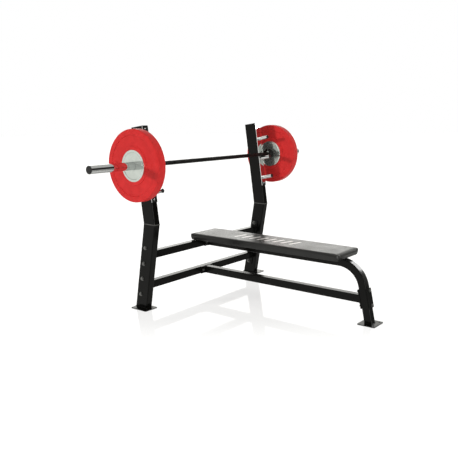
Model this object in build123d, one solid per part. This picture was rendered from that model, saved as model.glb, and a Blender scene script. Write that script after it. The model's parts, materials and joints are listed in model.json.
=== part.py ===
from build123d import *
import math
import os

# An olympic bench press: a bolted steel bench with a barbell racked on its uprights.
# X runs along the barbell, +Y from the foot end of the bench to the head end, +Z up.
# The origin is on the floor, under the middle of the whole object. Millimetres, degrees.

# --- barbell
BAR_LENGTH = 2200.0
BAR_Z = 958.0
SHAFT_R = 14.0
JOURNAL_R = 12.5
JOURNAL_START = 664.0
JOURNAL_END = 1080.0
SLEEVE_R = 25.0
SLEEVE_BORE_R = 18.0
SLEEVE_START = 660.0
SHOULDER_R = 35.0
SHOULDER_LENGTH = 40.0
SHOULDER_CHAMFER = 2.0
JOURNAL_CHAMFER = 1.0
BUSHING_GAP = 0.05
BUSHING_LENGTHS = (40.0, 30.0)
OUTER_BUSHING_END = 1060.0
END_GAP = 0.3
THRUST_WASHER = 3.0
RING_WIDTH = 2.0
RING_GROOVE_R = 11.5
RING_R = 16.5
CAP_HEAD = 6.0
CAP_ROUND = 5.0
CAP_PLUG = 10.0
SEAT_GROOVE_GAP = 0.5
SEAT_GROOVE_WIDTH = 1.5
SEAT_GROOVE_DEPTH = 0.5

# --- bumper plates
PLATE_R = 225.0
PLATE_OUTER_X = 762.0
HUB_R = 98.0
HUB_BORE_R = 25.4
HUB_RIM_R = 82.0
HUB_RECESS = 1.5
COLLAR_RING = (105.0, 119.0)
WEB_DEPTH = 5.0
RIM_INNER_R = 190.0
RIM_SLOPE = 4.0
TREAD_ROUND = 8.0

# --- overall depth, which places the barbell above the head end
DEPTH = 1519.0
BAR_Y = DEPTH / 2 - PLATE_R

# --- uprights: one lower and one upper length of tube, mitred and welded at the kink
UPRIGHT_X = 600.0
UPRIGHT_WIDTH = 50.0
UPRIGHT_DEPTH = 100.0
UPRIGHT_WALL = 3.0
UPRIGHT_CORNER = 6.0
KINK_Z = 573.0
LOWER_LEAN = 10.0
UPPER_LEAN = 8.0
BAR_TO_FACE = 20.0
UPPER_LENGTH = 630.0
FOOT_THICKNESS = 5.0
WELD_PROUD = 1.2
WELD_HALF = 3.0
CAP_THICKNESS = 3.0
CAP_DEPTH = 10.0
CAP_WALL = 2.5

# --- wear plates and rack pegs on the front faces of the uprights
WEAR_WIDTH = 48.0
WEAR_THICKNESS = 4.0
WEAR_START = 146.0
WEAR_SCREW_INSET = 17.0
WEAR_SCREW_R = 2.5
WEAR_SCREW_HEAD_R = 5.0
WEAR_SCREW_HEAD = 2.2
WEAR_SCREW_LENGTH = 12.0
PEG_R = 12.5
PEG_WALL = 2.5
PEG_TILT = 12.0
PEG_PITCH = 150.0
PEG_REACH = 86.0
PEG_SEAT_GAP = 0.3
PLUG_R = 13.5
PLUG_HEAD = 4.0
PLUG_STEM = 12.0

# --- crossbars, spine and seat beam: square tube
TUBE = 50.0
TUBE_WALL = 2.5
TUBE_CORNER = 5.0
SMALLEST_INNER_CORNER = 1.0
UPPER_CROSSBAR_Z = 361.0
LOWER_CROSSBAR_Z = 150.0
CROSSBAR_DEPTH_IN_UPRIGHT = 62.0
END_FLANGE = 6.0
END_FLANGE_WIDTH = 60.0
END_FLANGE_HEIGHT = 150.0
END_BOLT_OFFSET = 55.0
BEAM_FLANGE = 6.0
BEAM_FLANGE_WIDTH = 122.0
BEAM_FLANGE_HEIGHT = 52.0
BEAM_BOLT_X = 43.0
BEND_R = 165.0
LEG_SLANT = 12.0
LEG_FOOT_Y = -700.0
LEG_FLANGE = 8.0
LEG_FLANGE_HEIGHT = 120.0
LEG_FLANGE_ALONG = 158.5
LEG_BOLT_OFFSET = 46.0

# --- foot plates
FOOT_CORNER = 8.0
REAR_FOOT_WIDTH = 110.0
REAR_FOOT_X = 615.0
REAR_FOOT_BACK = 168.0
REAR_FOOT_LENGTH = 140.0
FRONT_FOOT_WIDTH = 130.0
FRONT_FOOT_LENGTH = 115.0
FOOT_HOLE_R = 5.5
FOOT_HOLE_INSET = 18.0
REAR_HOLE_HALF = 25.0
FRONT_HOLE_HALF = 43.0

# --- pad
PAD_WIDTH = 280.0
PAD_LENGTH = 1190.0
PAD_TOP = 430.0
PAD_Y = 49.5
PAD_CORNER = 25.0
PAD_TOP_ROUND = 6.0
BRACKET_THICKNESS = 4.0
BRACKET_WIDTH = 40.0
BRACKET_SPAN = 200.0
BRACKET_OFFSETS = (-420.0, 0.0, 420.0)
BOARD_THICKNESS = 12.0
BOARD_INSET = 8.0
COVER_RISE = 1.0
PAD_BOLT_X = 75.0
PAD_BOLT_R = 4.0
PAD_BOLT_HEAD_R = 7.0
PAD_BOLT_HEAD = 4.5
PAD_BOLT_LENGTH = 14.0
TEE_BARREL_R = 5.5
TEE_FLANGE_R = 11.0
TEE_FLANGE = 1.5

# --- hexagon fasteners: shank radius, across flats, head height, nut height, washer radius
M12 = dict(shank=6.0, flats=18.0, head=7.5, nut=10.0, washer=13.5)
M10 = dict(shank=5.0, flats=16.0, head=6.5, nut=8.0, washer=10.5)
WASHER = 2.5
HOLE_GAP = 0.5
THREAD_TAIL = 5.0
HEX_CHAMFER = 0.8

# --- how far a cutting shape runs past the face it cuts
OVERRUN = 1.0

SIDES = {"left": -1, "right": 1}


def sin(angle):
    return math.sin(math.radians(angle))


def cos(angle):
    return math.cos(math.radians(angle))


def tan(angle):
    return math.tan(math.radians(angle))


KINK_Y = BAR_Y + BAR_TO_FACE - (BAR_Z - KINK_Z) * tan(UPPER_LEAN)
BEAM_TOP = UPPER_CROSSBAR_Z + TUBE / 2
BOARD_BOTTOM = BEAM_TOP + BRACKET_THICKNESS
LEG_UP = (0, sin(LEG_SLANT), cos(LEG_SLANT))
UPPER_AXIS = (sin(UPPER_LEAN), cos(UPPER_LEAN))
PEG_IN_TUBE = PEG_TILT - UPPER_LEAN
SHOULDER_END = SLEEVE_START + SHOULDER_LENGTH
SLEEVE_END = BAR_LENGTH / 2 - CAP_HEAD
PLATE_INNER_X = SHOULDER_END + END_GAP
THRUST_START = OUTER_BUSHING_END + END_GAP
GROOVE_START = THRUST_START + THRUST_WASHER


# --- frames that follow the leaning tubes

def lower_frame(x):
    """Front face of a lower upright length at the kink; local Z runs up the tube."""
    return Plane((x, KINK_Y, KINK_Z), x_dir=(1, 0, 0), z_dir=(0, -sin(LOWER_LEAN), cos(LOWER_LEAN)))


def upper_frame(x):
    """Front face of an upper upright length at the kink; local Z runs up the tube."""
    return Plane((x, KINK_Y, KINK_Z), x_dir=(1, 0, 0), z_dir=(0, sin(UPPER_LEAN), cos(UPPER_LEAN)))


def mitre_plane(x):
    """The seam between the two lengths of an upright, halfway between their axes."""
    half = (LOWER_LEAN - UPPER_LEAN) / 2
    return Plane((x, KINK_Y, KINK_Z), x_dir=(1, 0, 0), z_dir=(0, -sin(half), cos(half)))


def leg_frame():
    """Centre line of the front leg at the floor; local Z runs up the leg."""
    return Plane((0, LEG_FOOT_Y, 0), x_dir=(1, 0, 0), z_dir=LEG_UP)


def along_lower(z):
    """Distance along the lower upright of the crossbar centre at height z."""
    return (z - KINK_Z - CROSSBAR_DEPTH_IN_UPRIGHT * sin(LOWER_LEAN)) / cos(LOWER_LEAN)


def crossbar_centre_y(z):
    """Y of a crossbar's centre, at a fixed depth inside the leaning lower upright."""
    return KINK_Y - along_lower(z) * sin(LOWER_LEAN) + CROSSBAR_DEPTH_IN_UPRIGHT * cos(LOWER_LEAN)


def middle_peg_along():
    """Where the middle peg's axis leaves the front face, so that the bar rests on the peg."""
    drop = PEG_R + SHAFT_R + PEG_SEAT_GAP
    y = BAR_Y - drop * sin(PEG_TILT) - KINK_Y
    z = BAR_Z - drop * cos(PEG_TILT) - KINK_Z
    along = y * UPPER_AXIS[0] + z * UPPER_AXIS[1]
    in_front = -y * UPPER_AXIS[1] + z * UPPER_AXIS[0]
    return along - in_front * tan(PEG_IN_TUBE)


PEG_ALONG = {
    "top": middle_peg_along() + PEG_PITCH,
    "middle": middle_peg_along(),
    "bottom": middle_peg_along() - PEG_PITCH,
}
CROSSBARS = {"upper": UPPER_CROSSBAR_Z, "lower": LOWER_CROSSBAR_Z}
WEAR_SCREWS = (WEAR_START + WEAR_SCREW_INSET, UPPER_LENGTH - WEAR_SCREW_INSET)


# --- small shared shapes

def tube_section(width, depth, wall, corner):
    """Cross-section of a rounded rectangular tube, centred."""
    inner_corner = max(corner - wall, SMALLEST_INNER_CORNER)
    hollow = RectangleRounded(width - 2 * wall, depth - 2 * wall, inner_corner)
    return RectangleRounded(width, depth, corner) - hollow


def rod(radius, start, end, bore=0.0):
    """A round bar or ring along local Z."""
    solid = Pos(0, 0, start) * Cylinder(radius, end - start, align=(Align.CENTER, Align.CENTER, Align.MIN))
    if bore:
        solid -= Pos(0, 0, start) * Cylinder(bore, end - start, align=(Align.CENTER, Align.CENTER, Align.MIN))
    return solid


def hexagon(flats, start, end):
    """A hexagonal prism along local Z with its far edge broken."""
    prism = extrude(Pos(0, 0, start) * RegularPolygon(flats / 2, 6, major_radius=False), amount=end - start)
    rim = prism.faces().sort_by(Axis.Z)[-1].edges()
    return chamfer(rim, HEX_CHAMFER)


def bolt(size, grip):
    """Hexagon bolt along local Z: head above the washer at Z 0, shank down through the grip."""
    tail = grip + 2 * WASHER + size["nut"] + THREAD_TAIL
    return hexagon(size["flats"], WASHER, WASHER + size["head"]) + rod(size["shank"], WASHER - tail, WASHER)


def washers(size, grip):
    """The washer under the head and the one under the nut."""
    starts = (0, -grip - WASHER)
    return [rod(size["washer"], start, start + WASHER, size["shank"]) for start in starts]


def nut(size, grip):
    """Hexagon nut against the far washer."""
    start = grip + WASHER
    body = hexagon(size["flats"], start, start + size["nut"]) - rod(size["shank"], start, start + size["nut"])
    return Rot(180, 0, 0) * body


def along_x(shape, side=1):
    """Turn a shape made along local Z so that it runs outwards along X at the bar's axis."""
    return Pos(0, BAR_Y, BAR_Z) * Rot(0, 90 * side, 0) * shape


def write(name, shapes):
    """Write one node; a list becomes a group of separate solids."""
    if isinstance(shapes, list):
        shapes = Compound(children=shapes)
    export_step(shapes, f"parts/{name}.step")


# --- uprights and what is fixed to them

def end_bolt_places(side):
    """Frames of the bolts through one upright, pointing outwards, head side at the outer face."""
    outer = side * (UPRIGHT_X + UPRIGHT_WIDTH / 2)
    places = []
    for z in CROSSBARS.values():
        for offset in (-END_BOLT_OFFSET, END_BOLT_OFFSET):
            spot = Pos(outer, CROSSBAR_DEPTH_IN_UPRIGHT, along_lower(z) + offset)
            places.append(lower_frame(0).location * spot * Rot(0, 90 * side, 0))
    return places


def lower_upright(side):
    frame = lower_frame(side * UPRIGHT_X)
    reach = KINK_Z / cos(LOWER_LEAN) + UPRIGHT_DEPTH
    section = tube_section(UPRIGHT_WIDTH, UPRIGHT_DEPTH, UPRIGHT_WALL, UPRIGHT_CORNER)
    tube = extrude(frame * Pos(0, UPRIGHT_DEPTH / 2, -reach) * section, amount=reach + UPRIGHT_DEPTH)
    tube = split(tube, bisect_by=mitre_plane(side * UPRIGHT_X), keep=Keep.BOTTOM)
    tube = split(tube, bisect_by=Plane.XY.offset(FOOT_THICKNESS), keep=Keep.TOP)
    for place in end_bolt_places(side):
        tube -= place * rod(M12["shank"] + HOLE_GAP, -UPRIGHT_WIDTH - OVERRUN, OVERRUN)
    return tube


def upper_upright(side):
    frame = upper_frame(side * UPRIGHT_X)
    section = tube_section(UPRIGHT_WIDTH, UPRIGHT_DEPTH, UPRIGHT_WALL, UPRIGHT_CORNER)
    start = -UPRIGHT_DEPTH / 2
    tube = extrude(frame * Pos(0, UPRIGHT_DEPTH / 2, start) * section, amount=UPPER_LENGTH - start)
    tube = split(tube, bisect_by=mitre_plane(side * UPRIGHT_X), keep=Keep.TOP)
    for along in PEG_ALONG.values():
        tube -= peg_place(side, along) * rod(PEG_R, -UPRIGHT_DEPTH / 2, UPRIGHT_DEPTH / 2)
    for along in WEAR_SCREWS:
        tube -= screw_place(side, along) * rod(WEAR_SCREW_R, -UPRIGHT_DEPTH / 2, OVERRUN)
    return tube


def peg_place(side, along):
    """Frame of a peg where it leaves the front face; local Z points out along the peg."""
    return upper_frame(side * UPRIGHT_X).location * Pos(0, 0, along) * Rot(90 - PEG_IN_TUBE, 0, 0)


def screw_place(side, along):
    """Frame of a wear plate screw on the plate's outer face; local Z points out."""
    return upper_frame(side * UPRIGHT_X).location * Pos(0, -WEAR_THICKNESS, along) * Rot(90, 0, 0)


def weld_bead(side):
    """Thin raised bead all round the seam between the two lengths of an upright."""
    x = side * UPRIGHT_X
    reach = UPRIGHT_DEPTH / 2

    def envelope(grow):
        section = RectangleRounded(UPRIGHT_WIDTH + 2 * grow, UPRIGHT_DEPTH + 2 * grow, UPRIGHT_CORNER + grow)
        placed = Pos(0, UPRIGHT_DEPTH / 2, -reach) * section
        low = extrude(lower_frame(x) * placed, amount=2 * reach)
        high = extrude(upper_frame(x) * placed, amount=2 * reach)
        seam = mitre_plane(x)
        return split(low, bisect_by=seam, keep=Keep.BOTTOM) + split(high, bisect_by=seam, keep=Keep.TOP)

    slab = mitre_plane(x).location * Box(2 * UPRIGHT_DEPTH, 4 * UPRIGHT_DEPTH, 2 * WELD_HALF)
    return (envelope(WELD_PROUD) & slab) - envelope(0)


def upright_cap(side):
    """Plastic cap: a flat head over the tube and wear plate, and a skirt inside the tube."""
    frame = upper_frame(side * UPRIGHT_X)
    head_depth = UPRIGHT_DEPTH + WEAR_THICKNESS
    head = RectangleRounded(UPRIGHT_WIDTH, head_depth, UPRIGHT_CORNER)
    head = extrude(frame * Pos(0, head_depth / 2 - WEAR_THICKNESS, UPPER_LENGTH) * head, amount=CAP_THICKNESS)
    inner = (UPRIGHT_WIDTH - 2 * UPRIGHT_WALL, UPRIGHT_DEPTH - 2 * UPRIGHT_WALL)
    skirt = tube_section(inner[0], inner[1], CAP_WALL, UPRIGHT_CORNER - UPRIGHT_WALL)
    skirt = extrude(frame * Pos(0, UPRIGHT_DEPTH / 2, UPPER_LENGTH - CAP_DEPTH) * skirt, amount=CAP_DEPTH)
    return head + skirt


def wear_plate(side):
    frame = upper_frame(side * UPRIGHT_X).location
    length = UPPER_LENGTH - WEAR_START
    centre = Pos(0, -WEAR_THICKNESS / 2, WEAR_START + length / 2)
    plate = frame * centre * Box(WEAR_WIDTH, WEAR_THICKNESS, length)
    for along in PEG_ALONG.values():
        plate -= peg_place(side, along) * rod(PEG_R + HOLE_GAP, -UPRIGHT_DEPTH / 4, UPRIGHT_DEPTH / 4)
    for along in WEAR_SCREWS:
        plate -= screw_place(side, along) * rod(WEAR_SCREW_R, -UPRIGHT_DEPTH / 4, OVERRUN)
    return plate


def wear_screw(side, along):
    head = fillet(rod(WEAR_SCREW_HEAD_R, 0, WEAR_SCREW_HEAD).edges().sort_by(Axis.Z)[-1], WEAR_SCREW_HEAD / 2)
    return screw_place(side, along) * (head + rod(WEAR_SCREW_R, -WEAR_SCREW_LENGTH, 0))


def peg(side, along):
    """Tube peg welded into the front wall, its inner end against the rear wall."""
    place = peg_place(side, along)
    tube = place * rod(PEG_R, -UPRIGHT_DEPTH - TUBE, PEG_REACH, PEG_R - PEG_WALL)
    rear_wall = upper_frame(side * UPRIGHT_X).location * Pos(0, UPRIGHT_DEPTH - UPRIGHT_WALL, along)
    return split(tube, bisect_by=Plane(rear_wall * Rot(90, 0, 0)), keep=Keep.TOP)


def peg_plug(side, along):
    head = rod(PLUG_R, PEG_REACH, PEG_REACH + PLUG_HEAD)
    head = fillet(head.edges().sort_by(Axis.Z)[-1], PLUG_HEAD / 2)
    return peg_place(side, along) * (head + rod(PEG_R - PEG_WALL, PEG_REACH - PLUG_STEM, PEG_REACH))


def foot_plate(width, length, x, y, holes):
    plate = extrude(Pos(x, y, 0) * RectangleRounded(width, length, FOOT_CORNER), amount=FOOT_THICKNESS)
    for hole_x, hole_y in holes:
        plate -= Pos(hole_x, hole_y, 0) * rod(FOOT_HOLE_R, -OVERRUN, FOOT_THICKNESS + OVERRUN)
    return plate


def rear_foot(side):
    back = BAR_Y + REAR_FOOT_BACK
    hole_y = back - REAR_FOOT_LENGTH + FOOT_HOLE_INSET
    x = side * REAR_FOOT_X
    holes = [(x - REAR_HOLE_HALF, hole_y), (x + REAR_HOLE_HALF, hole_y)]
    return foot_plate(REAR_FOOT_WIDTH, REAR_FOOT_LENGTH, x, back - REAR_FOOT_LENGTH / 2, holes)


def make_uprights():
    screws = []
    for name, side in SIDES.items():
        write(f"{name}_upright_lower", lower_upright(side))
        write(f"{name}_upright_upper", upper_upright(side))
        write(f"{name}_upright_weld", weld_bead(side))
        write(f"{name}_upright_cap", upright_cap(side))
        write(f"{name}_wear_plate", wear_plate(side))
        write(f"{name}_rear_foot_plate", rear_foot(side))
        for level, along in PEG_ALONG.items():
            write(f"{name}_{level}_peg", peg(side, along))
        write(f"{name}_peg_plugs", [peg_plug(side, along) for along in PEG_ALONG.values()])
        screws += [wear_screw(side, along) for along in WEAR_SCREWS]
    write("wear_plate_screws", screws)


# --- crossbars and their bolts

def beam_bolt_places(z):
    """Frames of the two bolts that hold a beam's flange to a crossbar, heads towards -Y."""
    face = crossbar_centre_y(z) - TUBE / 2 - BEAM_FLANGE
    return [Pos(x, face, z) * Rot(90, 0, 0) for x in (-BEAM_BOLT_X, BEAM_BOLT_X)]


def crossbar(z):
    half = UPRIGHT_X - UPRIGHT_WIDTH / 2 - END_FLANGE
    start = Plane((-half, crossbar_centre_y(z), z), x_dir=(0, 1, 0), z_dir=(1, 0, 0))
    tube = extrude(start * tube_section(TUBE, TUBE, TUBE_WALL, TUBE_CORNER), amount=2 * half)
    for place in beam_bolt_places(z):
        tube -= place * rod(M10["shank"] + HOLE_GAP, -2 * TUBE, TUBE)
    return tube


def end_flange(side, z):
    inner = side * (UPRIGHT_X - UPRIGHT_WIDTH / 2 - END_FLANGE / 2)
    centre = lower_frame(0).location * Pos(inner, CROSSBAR_DEPTH_IN_UPRIGHT, along_lower(z))
    plate = centre * Box(END_FLANGE, END_FLANGE_WIDTH, END_FLANGE_HEIGHT)
    for place in end_bolt_places(side):
        plate -= place * rod(M12["shank"] + HOLE_GAP, -2 * UPRIGHT_WIDTH, OVERRUN)
    return plate


def make_crossbars():
    grip = UPRIGHT_WIDTH + END_FLANGE
    for name, z in CROSSBARS.items():
        write(f"{name}_crossbar", crossbar(z))
        write(f"{name}_crossbar_flanges", [end_flange(side, z) for side in SIDES.values()])
    places = [place for side in SIDES.values() for place in end_bolt_places(side)]
    write("crossbar_bolts", [place * bolt(M12, grip) for place in places])
    write("crossbar_washers", [place * ring for place in places for ring in washers(M12, grip)])
    write("crossbar_nuts", [place * nut(M12, grip) for place in places])


# --- spine, seat beam and front leg

def leg_bolt_places():
    """Frames of the bolts through the front leg, heads on the front plate."""
    face = -TUBE / 2 - LEG_FLANGE
    levels = (LEG_FLANGE_ALONG - LEG_BOLT_OFFSET, LEG_FLANGE_ALONG + LEG_BOLT_OFFSET)
    return [leg_frame().location * Pos(0, face, level) * Rot(90, 0, 0) for level in levels]


def leg_plate(local_y):
    """Flat plate against the leg's front or back face, with the two bolt holes."""
    centre = leg_frame().location * Pos(0, local_y, LEG_FLANGE_ALONG)
    plate = centre * Box(TUBE, LEG_FLANGE, LEG_FLANGE_HEIGHT)
    for place in leg_bolt_places():
        plate -= place * rod(M10["shank"] + HOLE_GAP, -2 * TUBE, TUBE)
    return plate


def beam_flange(z):
    face = crossbar_centre_y(z) - TUBE / 2 - BEAM_FLANGE / 2
    plate = Pos(0, face, z) * Box(BEAM_FLANGE_WIDTH, BEAM_FLANGE, BEAM_FLANGE_HEIGHT)
    for place in beam_bolt_places(z):
        plate -= place * rod(M10["shank"] + HOLE_GAP, -2 * TUBE, TUBE)
    return plate


def spine():
    """Straight tube from the lower crossbar to the flange on the slanting front leg."""
    start_y = crossbar_centre_y(LOWER_CROSSBAR_Z) - TUBE / 2 - BEAM_FLANGE
    start = Plane((0, start_y, LOWER_CROSSBAR_Z), x_dir=(1, 0, 0), z_dir=(0, -1, 0))
    tube = extrude(start * tube_section(TUBE, TUBE, TUBE_WALL, TUBE_CORNER), amount=start_y - LEG_FOOT_Y)
    flange_face = leg_frame().location * Pos(0, TUBE / 2 + LEG_FLANGE, 0) * Rot(-90, 0, 0)
    return split(tube, bisect_by=Plane(flange_face), keep=Keep.TOP)


def seat_beam_leg():
    """One bent tube: level under the pad, then down to the front foot at a slant."""
    start = (0, crossbar_centre_y(UPPER_CROSSBAR_Z) - TUBE / 2 - BEAM_FLANGE, UPPER_CROSSBAR_Z)
    corner = (0, LEG_FOOT_Y + UPPER_CROSSBAR_Z * tan(LEG_SLANT), UPPER_CROSSBAR_Z)
    foot = (0, LEG_FOOT_Y - TUBE * tan(LEG_SLANT), -TUBE)
    path = FilletPolyline(start, corner, foot, radius=BEND_R)
    start_plane = Plane(start, x_dir=(1, 0, 0), z_dir=(0, -1, 0))
    tube = sweep(start_plane * tube_section(TUBE, TUBE, TUBE_WALL, TUBE_CORNER), path=path)
    tube = split(tube, bisect_by=Plane.XY.offset(FOOT_THICKNESS), keep=Keep.TOP)
    for place in leg_bolt_places():
        tube -= place * rod(M10["shank"] + HOLE_GAP, -2 * TUBE, TUBE)
    return tube


def front_foot():
    front = -DEPTH / 2
    hole_y = front + FOOT_HOLE_INSET
    holes = [(-FRONT_HOLE_HALF, hole_y), (FRONT_HOLE_HALF, hole_y)]
    return foot_plate(FRONT_FOOT_WIDTH, FRONT_FOOT_LENGTH, 0, front + FRONT_FOOT_LENGTH / 2, holes)


def make_beams():
    write("spine_tube", spine())
    write("spine_rear_flange", beam_flange(LOWER_CROSSBAR_Z))
    write("spine_front_flange", leg_plate(TUBE / 2 + LEG_FLANGE / 2))
    write("leg_backing_plate", leg_plate(-TUBE / 2 - LEG_FLANGE / 2))
    write("seat_beam_leg", seat_beam_leg())
    write("seat_beam_flange", beam_flange(UPPER_CROSSBAR_Z))
    write("front_foot_plate", front_foot())
    joints = [(place, TUBE + BEAM_FLANGE) for z in CROSSBARS.values() for place in beam_bolt_places(z)]
    joints += [(place, TUBE + 2 * LEG_FLANGE) for place in leg_bolt_places()]
    write("beam_bolts", [place * bolt(M10, grip) for place, grip in joints])
    write("beam_washers", [place * ring for place, grip in joints for ring in washers(M10, grip)])
    write("beam_nuts", [place * nut(M10, grip) for place, grip in joints])


# --- pad

def pad_bolt_places():
    """Frames on the brackets' undersides; local Z points up into the board."""
    spots = [(x, PAD_Y + y) for y in BRACKET_OFFSETS for x in (-PAD_BOLT_X, PAD_BOLT_X)]
    return [Pos(x, y, BEAM_TOP) for x, y in spots]


def pad_bracket(offset):
    level = BEAM_TOP + BRACKET_THICKNESS / 2
    bracket = Pos(0, PAD_Y + offset, level) * Box(BRACKET_SPAN, BRACKET_WIDTH, BRACKET_THICKNESS)
    for place in pad_bolt_places():
        bracket -= place * rod(PAD_BOLT_R + HOLE_GAP, -OVERRUN, BRACKET_THICKNESS + OVERRUN)
    return bracket


def board_outline():
    width = PAD_WIDTH - 2 * BOARD_INSET
    length = PAD_LENGTH - 2 * BOARD_INSET
    return Pos(0, PAD_Y, BOARD_BOTTOM) * RectangleRounded(width, length, PAD_CORNER - BOARD_INSET)


def pad_board():
    board = extrude(board_outline(), amount=BOARD_THICKNESS)
    low = BRACKET_THICKNESS
    high = BRACKET_THICKNESS + BOARD_THICKNESS
    for place in pad_bolt_places():
        board -= place * rod(TEE_BARREL_R, low - OVERRUN, high + OVERRUN)
        board -= place * rod(TEE_FLANGE_R, high - TEE_FLANGE, high + OVERRUN)
    return board


def pad_cushion():
    """Closed block of the pad's outer shape, with the board let into its underside."""
    bottom = BOARD_BOTTOM + COVER_RISE
    outline = Pos(0, PAD_Y, bottom) * RectangleRounded(PAD_WIDTH, PAD_LENGTH, PAD_CORNER)
    block = extrude(outline, amount=PAD_TOP - bottom)
    block = fillet(block.faces().sort_by(Axis.Z)[-1].edges(), PAD_TOP_ROUND)
    return block - extrude(board_outline(), amount=BOARD_THICKNESS)


def pad_bolt():
    head = chamfer(rod(PAD_BOLT_HEAD_R, -PAD_BOLT_HEAD, 0).edges().sort_by(Axis.Z)[0], HEX_CHAMFER)
    return head + rod(PAD_BOLT_R, 0, PAD_BOLT_LENGTH)


def tee_nut():
    low = BRACKET_THICKNESS
    high = BRACKET_THICKNESS + BOARD_THICKNESS
    flange = rod(TEE_FLANGE_R, high - TEE_FLANGE, high, PAD_BOLT_R)
    return flange + rod(TEE_BARREL_R, low, high - TEE_FLANGE, PAD_BOLT_R)


def make_pad():
    write("pad_brackets", [pad_bracket(offset) for offset in BRACKET_OFFSETS])
    write("pad_board", pad_board())
    write("pad_cushion", pad_cushion())
    write("pad_bolts", [place * pad_bolt() for place in pad_bolt_places()])
    write("pad_tee_nuts", [place * tee_nut() for place in pad_bolt_places()])


# --- barbell

def revolved(points):
    """Solid of revolution about X from an outline of (x, radius) points, at the bar's axis."""
    outline = make_face(Polyline(*points, close=True))
    return Pos(0, BAR_Y, BAR_Z) * revolve(outline, Axis.X)


def bar_shaft():
    """Grip with a turned-down journal and a ring groove at each end."""
    half = [
        (JOURNAL_START, SHAFT_R),
        (JOURNAL_START, JOURNAL_R),
        (GROOVE_START, JOURNAL_R),
        (GROOVE_START, RING_GROOVE_R),
        (GROOVE_START + RING_WIDTH, RING_GROOVE_R),
        (GROOVE_START + RING_WIDTH, JOURNAL_R),
        (JOURNAL_END - JOURNAL_CHAMFER, JOURNAL_R),
        (JOURNAL_END, JOURNAL_R - JOURNAL_CHAMFER),
        (JOURNAL_END, 0),
    ]
    mirrored = [(-x, radius) for x, radius in reversed(half)]
    return revolved(mirrored + half)


def sleeve_tube():
    """Plain sleeve with a shallow turned groove just outside the face of the loaded plate."""
    start = PLATE_OUTER_X + SEAT_GROOVE_GAP
    groove = rod(SLEEVE_R + OVERRUN, start, start + SEAT_GROOVE_WIDTH, SLEEVE_R - SEAT_GROOVE_DEPTH)
    return rod(SLEEVE_R, SLEEVE_START, SLEEVE_END, SLEEVE_BORE_R) - groove


def sleeve_shoulder():
    ring = rod(SHOULDER_R, SLEEVE_START, SHOULDER_END, SLEEVE_R)
    circles = ring.edges().filter_by(GeomType.CIRCLE)
    outer = circles.filter_by(lambda edge: edge.radius > (SLEEVE_R + SHOULDER_R) / 2)
    return chamfer(outer, SHOULDER_CHAMFER)


def sleeve_end_cap():
    head = rod(SLEEVE_R, SLEEVE_END, SLEEVE_END + CAP_HEAD)
    head = fillet(head.edges().sort_by(Axis.Z)[-1], CAP_ROUND)
    return head + rod(SLEEVE_BORE_R, SLEEVE_END - CAP_PLUG, SLEEVE_END)


def sleeve_bushings():
    inner_start = JOURNAL_START + END_GAP
    bore = JOURNAL_R + BUSHING_GAP
    return [
        rod(SLEEVE_BORE_R, inner_start, inner_start + BUSHING_LENGTHS[0], bore),
        rod(SLEEVE_BORE_R, OUTER_BUSHING_END - BUSHING_LENGTHS[1], OUTER_BUSHING_END, bore),
    ]


def plate_hub(side):
    """Steel hub with a bore for the sleeve and a raised rim on both faces."""
    inner, outer = PLATE_INNER_X, PLATE_OUTER_X
    low, high = inner + HUB_RECESS, outer - HUB_RECESS
    half = [(high, HUB_BORE_R), (high, HUB_RIM_R), (outer, HUB_RIM_R + HUB_RECESS), (outer, HUB_R)]
    other = [(inner, HUB_R), (inner, HUB_RIM_R + HUB_RECESS), (low, HUB_RIM_R), (low, HUB_BORE_R)]
    return revolved([(side * x, radius) for x, radius in half + other])


def plate_rubber(side):
    """Rubber tyre of a bumper plate: raised ring at the hub, recessed web and a rounded rim."""
    profile = [
        (0, HUB_R),
        (HUB_RECESS, HUB_R + HUB_RECESS),
        (HUB_RECESS, COLLAR_RING[0]),
        (0, COLLAR_RING[0] + HUB_RECESS),
        (0, COLLAR_RING[1]),
        (WEB_DEPTH, COLLAR_RING[1] + HUB_RECESS),
        (WEB_DEPTH, RIM_INNER_R - RIM_SLOPE),
        (0, RIM_INNER_R),
        (0, PLATE_R),
    ]
    inner = [(side * (PLATE_INNER_X + depth), radius) for depth, radius in profile]
    outer = [(side * (PLATE_OUTER_X - depth), radius) for depth, radius in reversed(profile)]
    ring = revolved(inner + outer)
    tread = ring.edges().filter_by(GeomType.CIRCLE).filter_by(lambda edge: edge.radius > RIM_INNER_R)
    return fillet(tread, TREAD_ROUND)


def make_barbell():
    write("bar_shaft", bar_shaft())
    thrust = rod(SLEEVE_BORE_R - HOLE_GAP, THRUST_START, GROOVE_START, JOURNAL_R)
    ring = rod(RING_R, GROOVE_START, GROOVE_START + RING_WIDTH, RING_GROOVE_R)
    write("bar_thrust_washers", [along_x(thrust, side) for side in SIDES.values()])
    write("bar_retaining_rings", [along_x(ring, side) for side in SIDES.values()])
    for name, side in SIDES.items():
        write(f"{name}_sleeve_tube", along_x(sleeve_tube(), side))
        write(f"{name}_sleeve_shoulder", along_x(sleeve_shoulder(), side))
        write(f"{name}_sleeve_bushings", [along_x(bush, side) for bush in sleeve_bushings()])
        write(f"{name}_sleeve_end_cap", along_x(sleeve_end_cap(), side))
        write(f"{name}_plate_hub", plate_hub(side))
        write(f"{name}_plate_rubber", plate_rubber(side))


os.makedirs("parts", exist_ok=True)
make_uprights()
make_crossbars()
make_beams()
make_pad()
make_barbell()
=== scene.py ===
"""Looks of an olympic bench press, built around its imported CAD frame. Metres and degrees."""
import json
import math

import bmesh
import bpy
from mathutils import Matrix, Vector

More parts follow.
